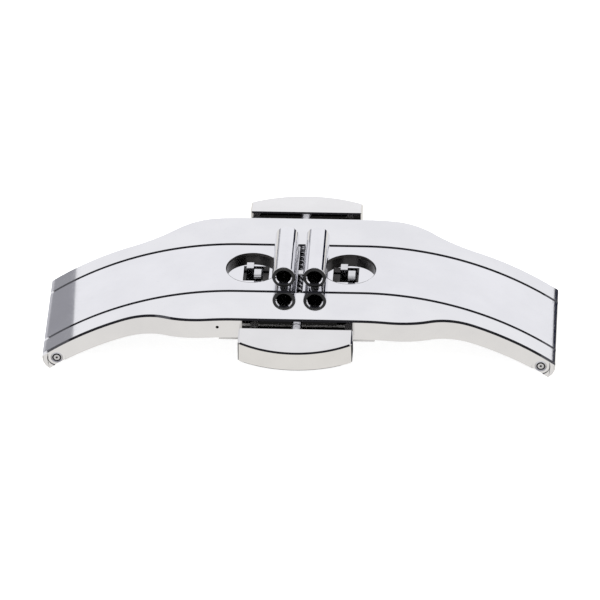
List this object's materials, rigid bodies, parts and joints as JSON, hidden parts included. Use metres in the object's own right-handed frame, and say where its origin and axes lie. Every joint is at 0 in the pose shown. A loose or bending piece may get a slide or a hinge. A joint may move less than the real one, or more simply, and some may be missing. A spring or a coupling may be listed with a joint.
{
  "type": "butterfly clasp",
  "caption": "Curved butterfly clasp with two fold-out blades, cross tubes for bracelet pins and a push button on each side.",
  "frame": {"origin": "middle of the clasp, on the plane that the four rail ends stand on", "axes": "+X along the clasp towards the right blade's hinge, +Y across it towards the rear button, +Z away from the wrist"},
  "size_m": [0.0418, 0.024, 0.0086],
  "materials": {
    "frame_steel": "mirror polished stainless steel",
    "wing_steel": "mirror polished stainless steel with fine lengthwise polish lines",
    "tube_steel": "polished drawn tube",
    "button_steel": "polished, with bevelled edges",
    "pin_steel": "turned",
    "latch_steel": "stamped sheet, satin",
    "spring_steel": "drawn spring wire"
  },
  "bodies": {
    "frame": {"base_frame": "frame_steel", "latch_cover": "latch_steel", "cover_screws": "pin_steel", "spring_stop": "pin_steel", "left_hinge_pin": "pin_steel", "right_hinge_pin": "pin_steel", "front_spring": "spring_steel", "rear_spring": "spring_steel"},
    "right_wing": {"right_wing": "wing_steel", "right_tube": "tube_steel"},
    "left_wing": {"left_wing": "wing_steel", "left_tube": "tube_steel"},
    "front_button": {"front_button": "button_steel", "front_stem": "pin_steel", "front_latch_plate": "latch_steel", "front_rivets": "pin_steel"},
    "rear_button": {"rear_button": "button_steel", "rear_stem": "pin_steel", "rear_latch_plate": "latch_steel", "rear_rivets": "pin_steel"}
  },
  "joints": [
    {"name": "right_wing_hinge", "type": "hinge", "parent": "frame", "child": "right_wing", "pos_m": [0.01965, 0, 0.00103], "axis": [0, 1, 0], "range_deg": [0, 150]},
    {"name": "left_wing_hinge", "type": "hinge", "parent": "frame", "child": "left_wing", "pos_m": [-0.01965, 0, 0.00103], "axis": [0, -1, 0], "range_deg": [0, 150]},
    {"name": "front_button_press", "type": "slide", "parent": "frame", "child": "front_button", "axis": [0, 1, 0], "range_m": [0, 0.0005], "stiffness_N_per_m": 400, "springref_m": -0.001, "deforming": ["front_spring"]},
    {"name": "rear_button_press", "type": "slide", "parent": "frame", "child": "rear_button", "axis": [0, -1, 0], "range_m": [0, 0.0005], "stiffness_N_per_m": 400, "springref_m": -0.001, "deforming": ["rear_spring"]}
  ]
}
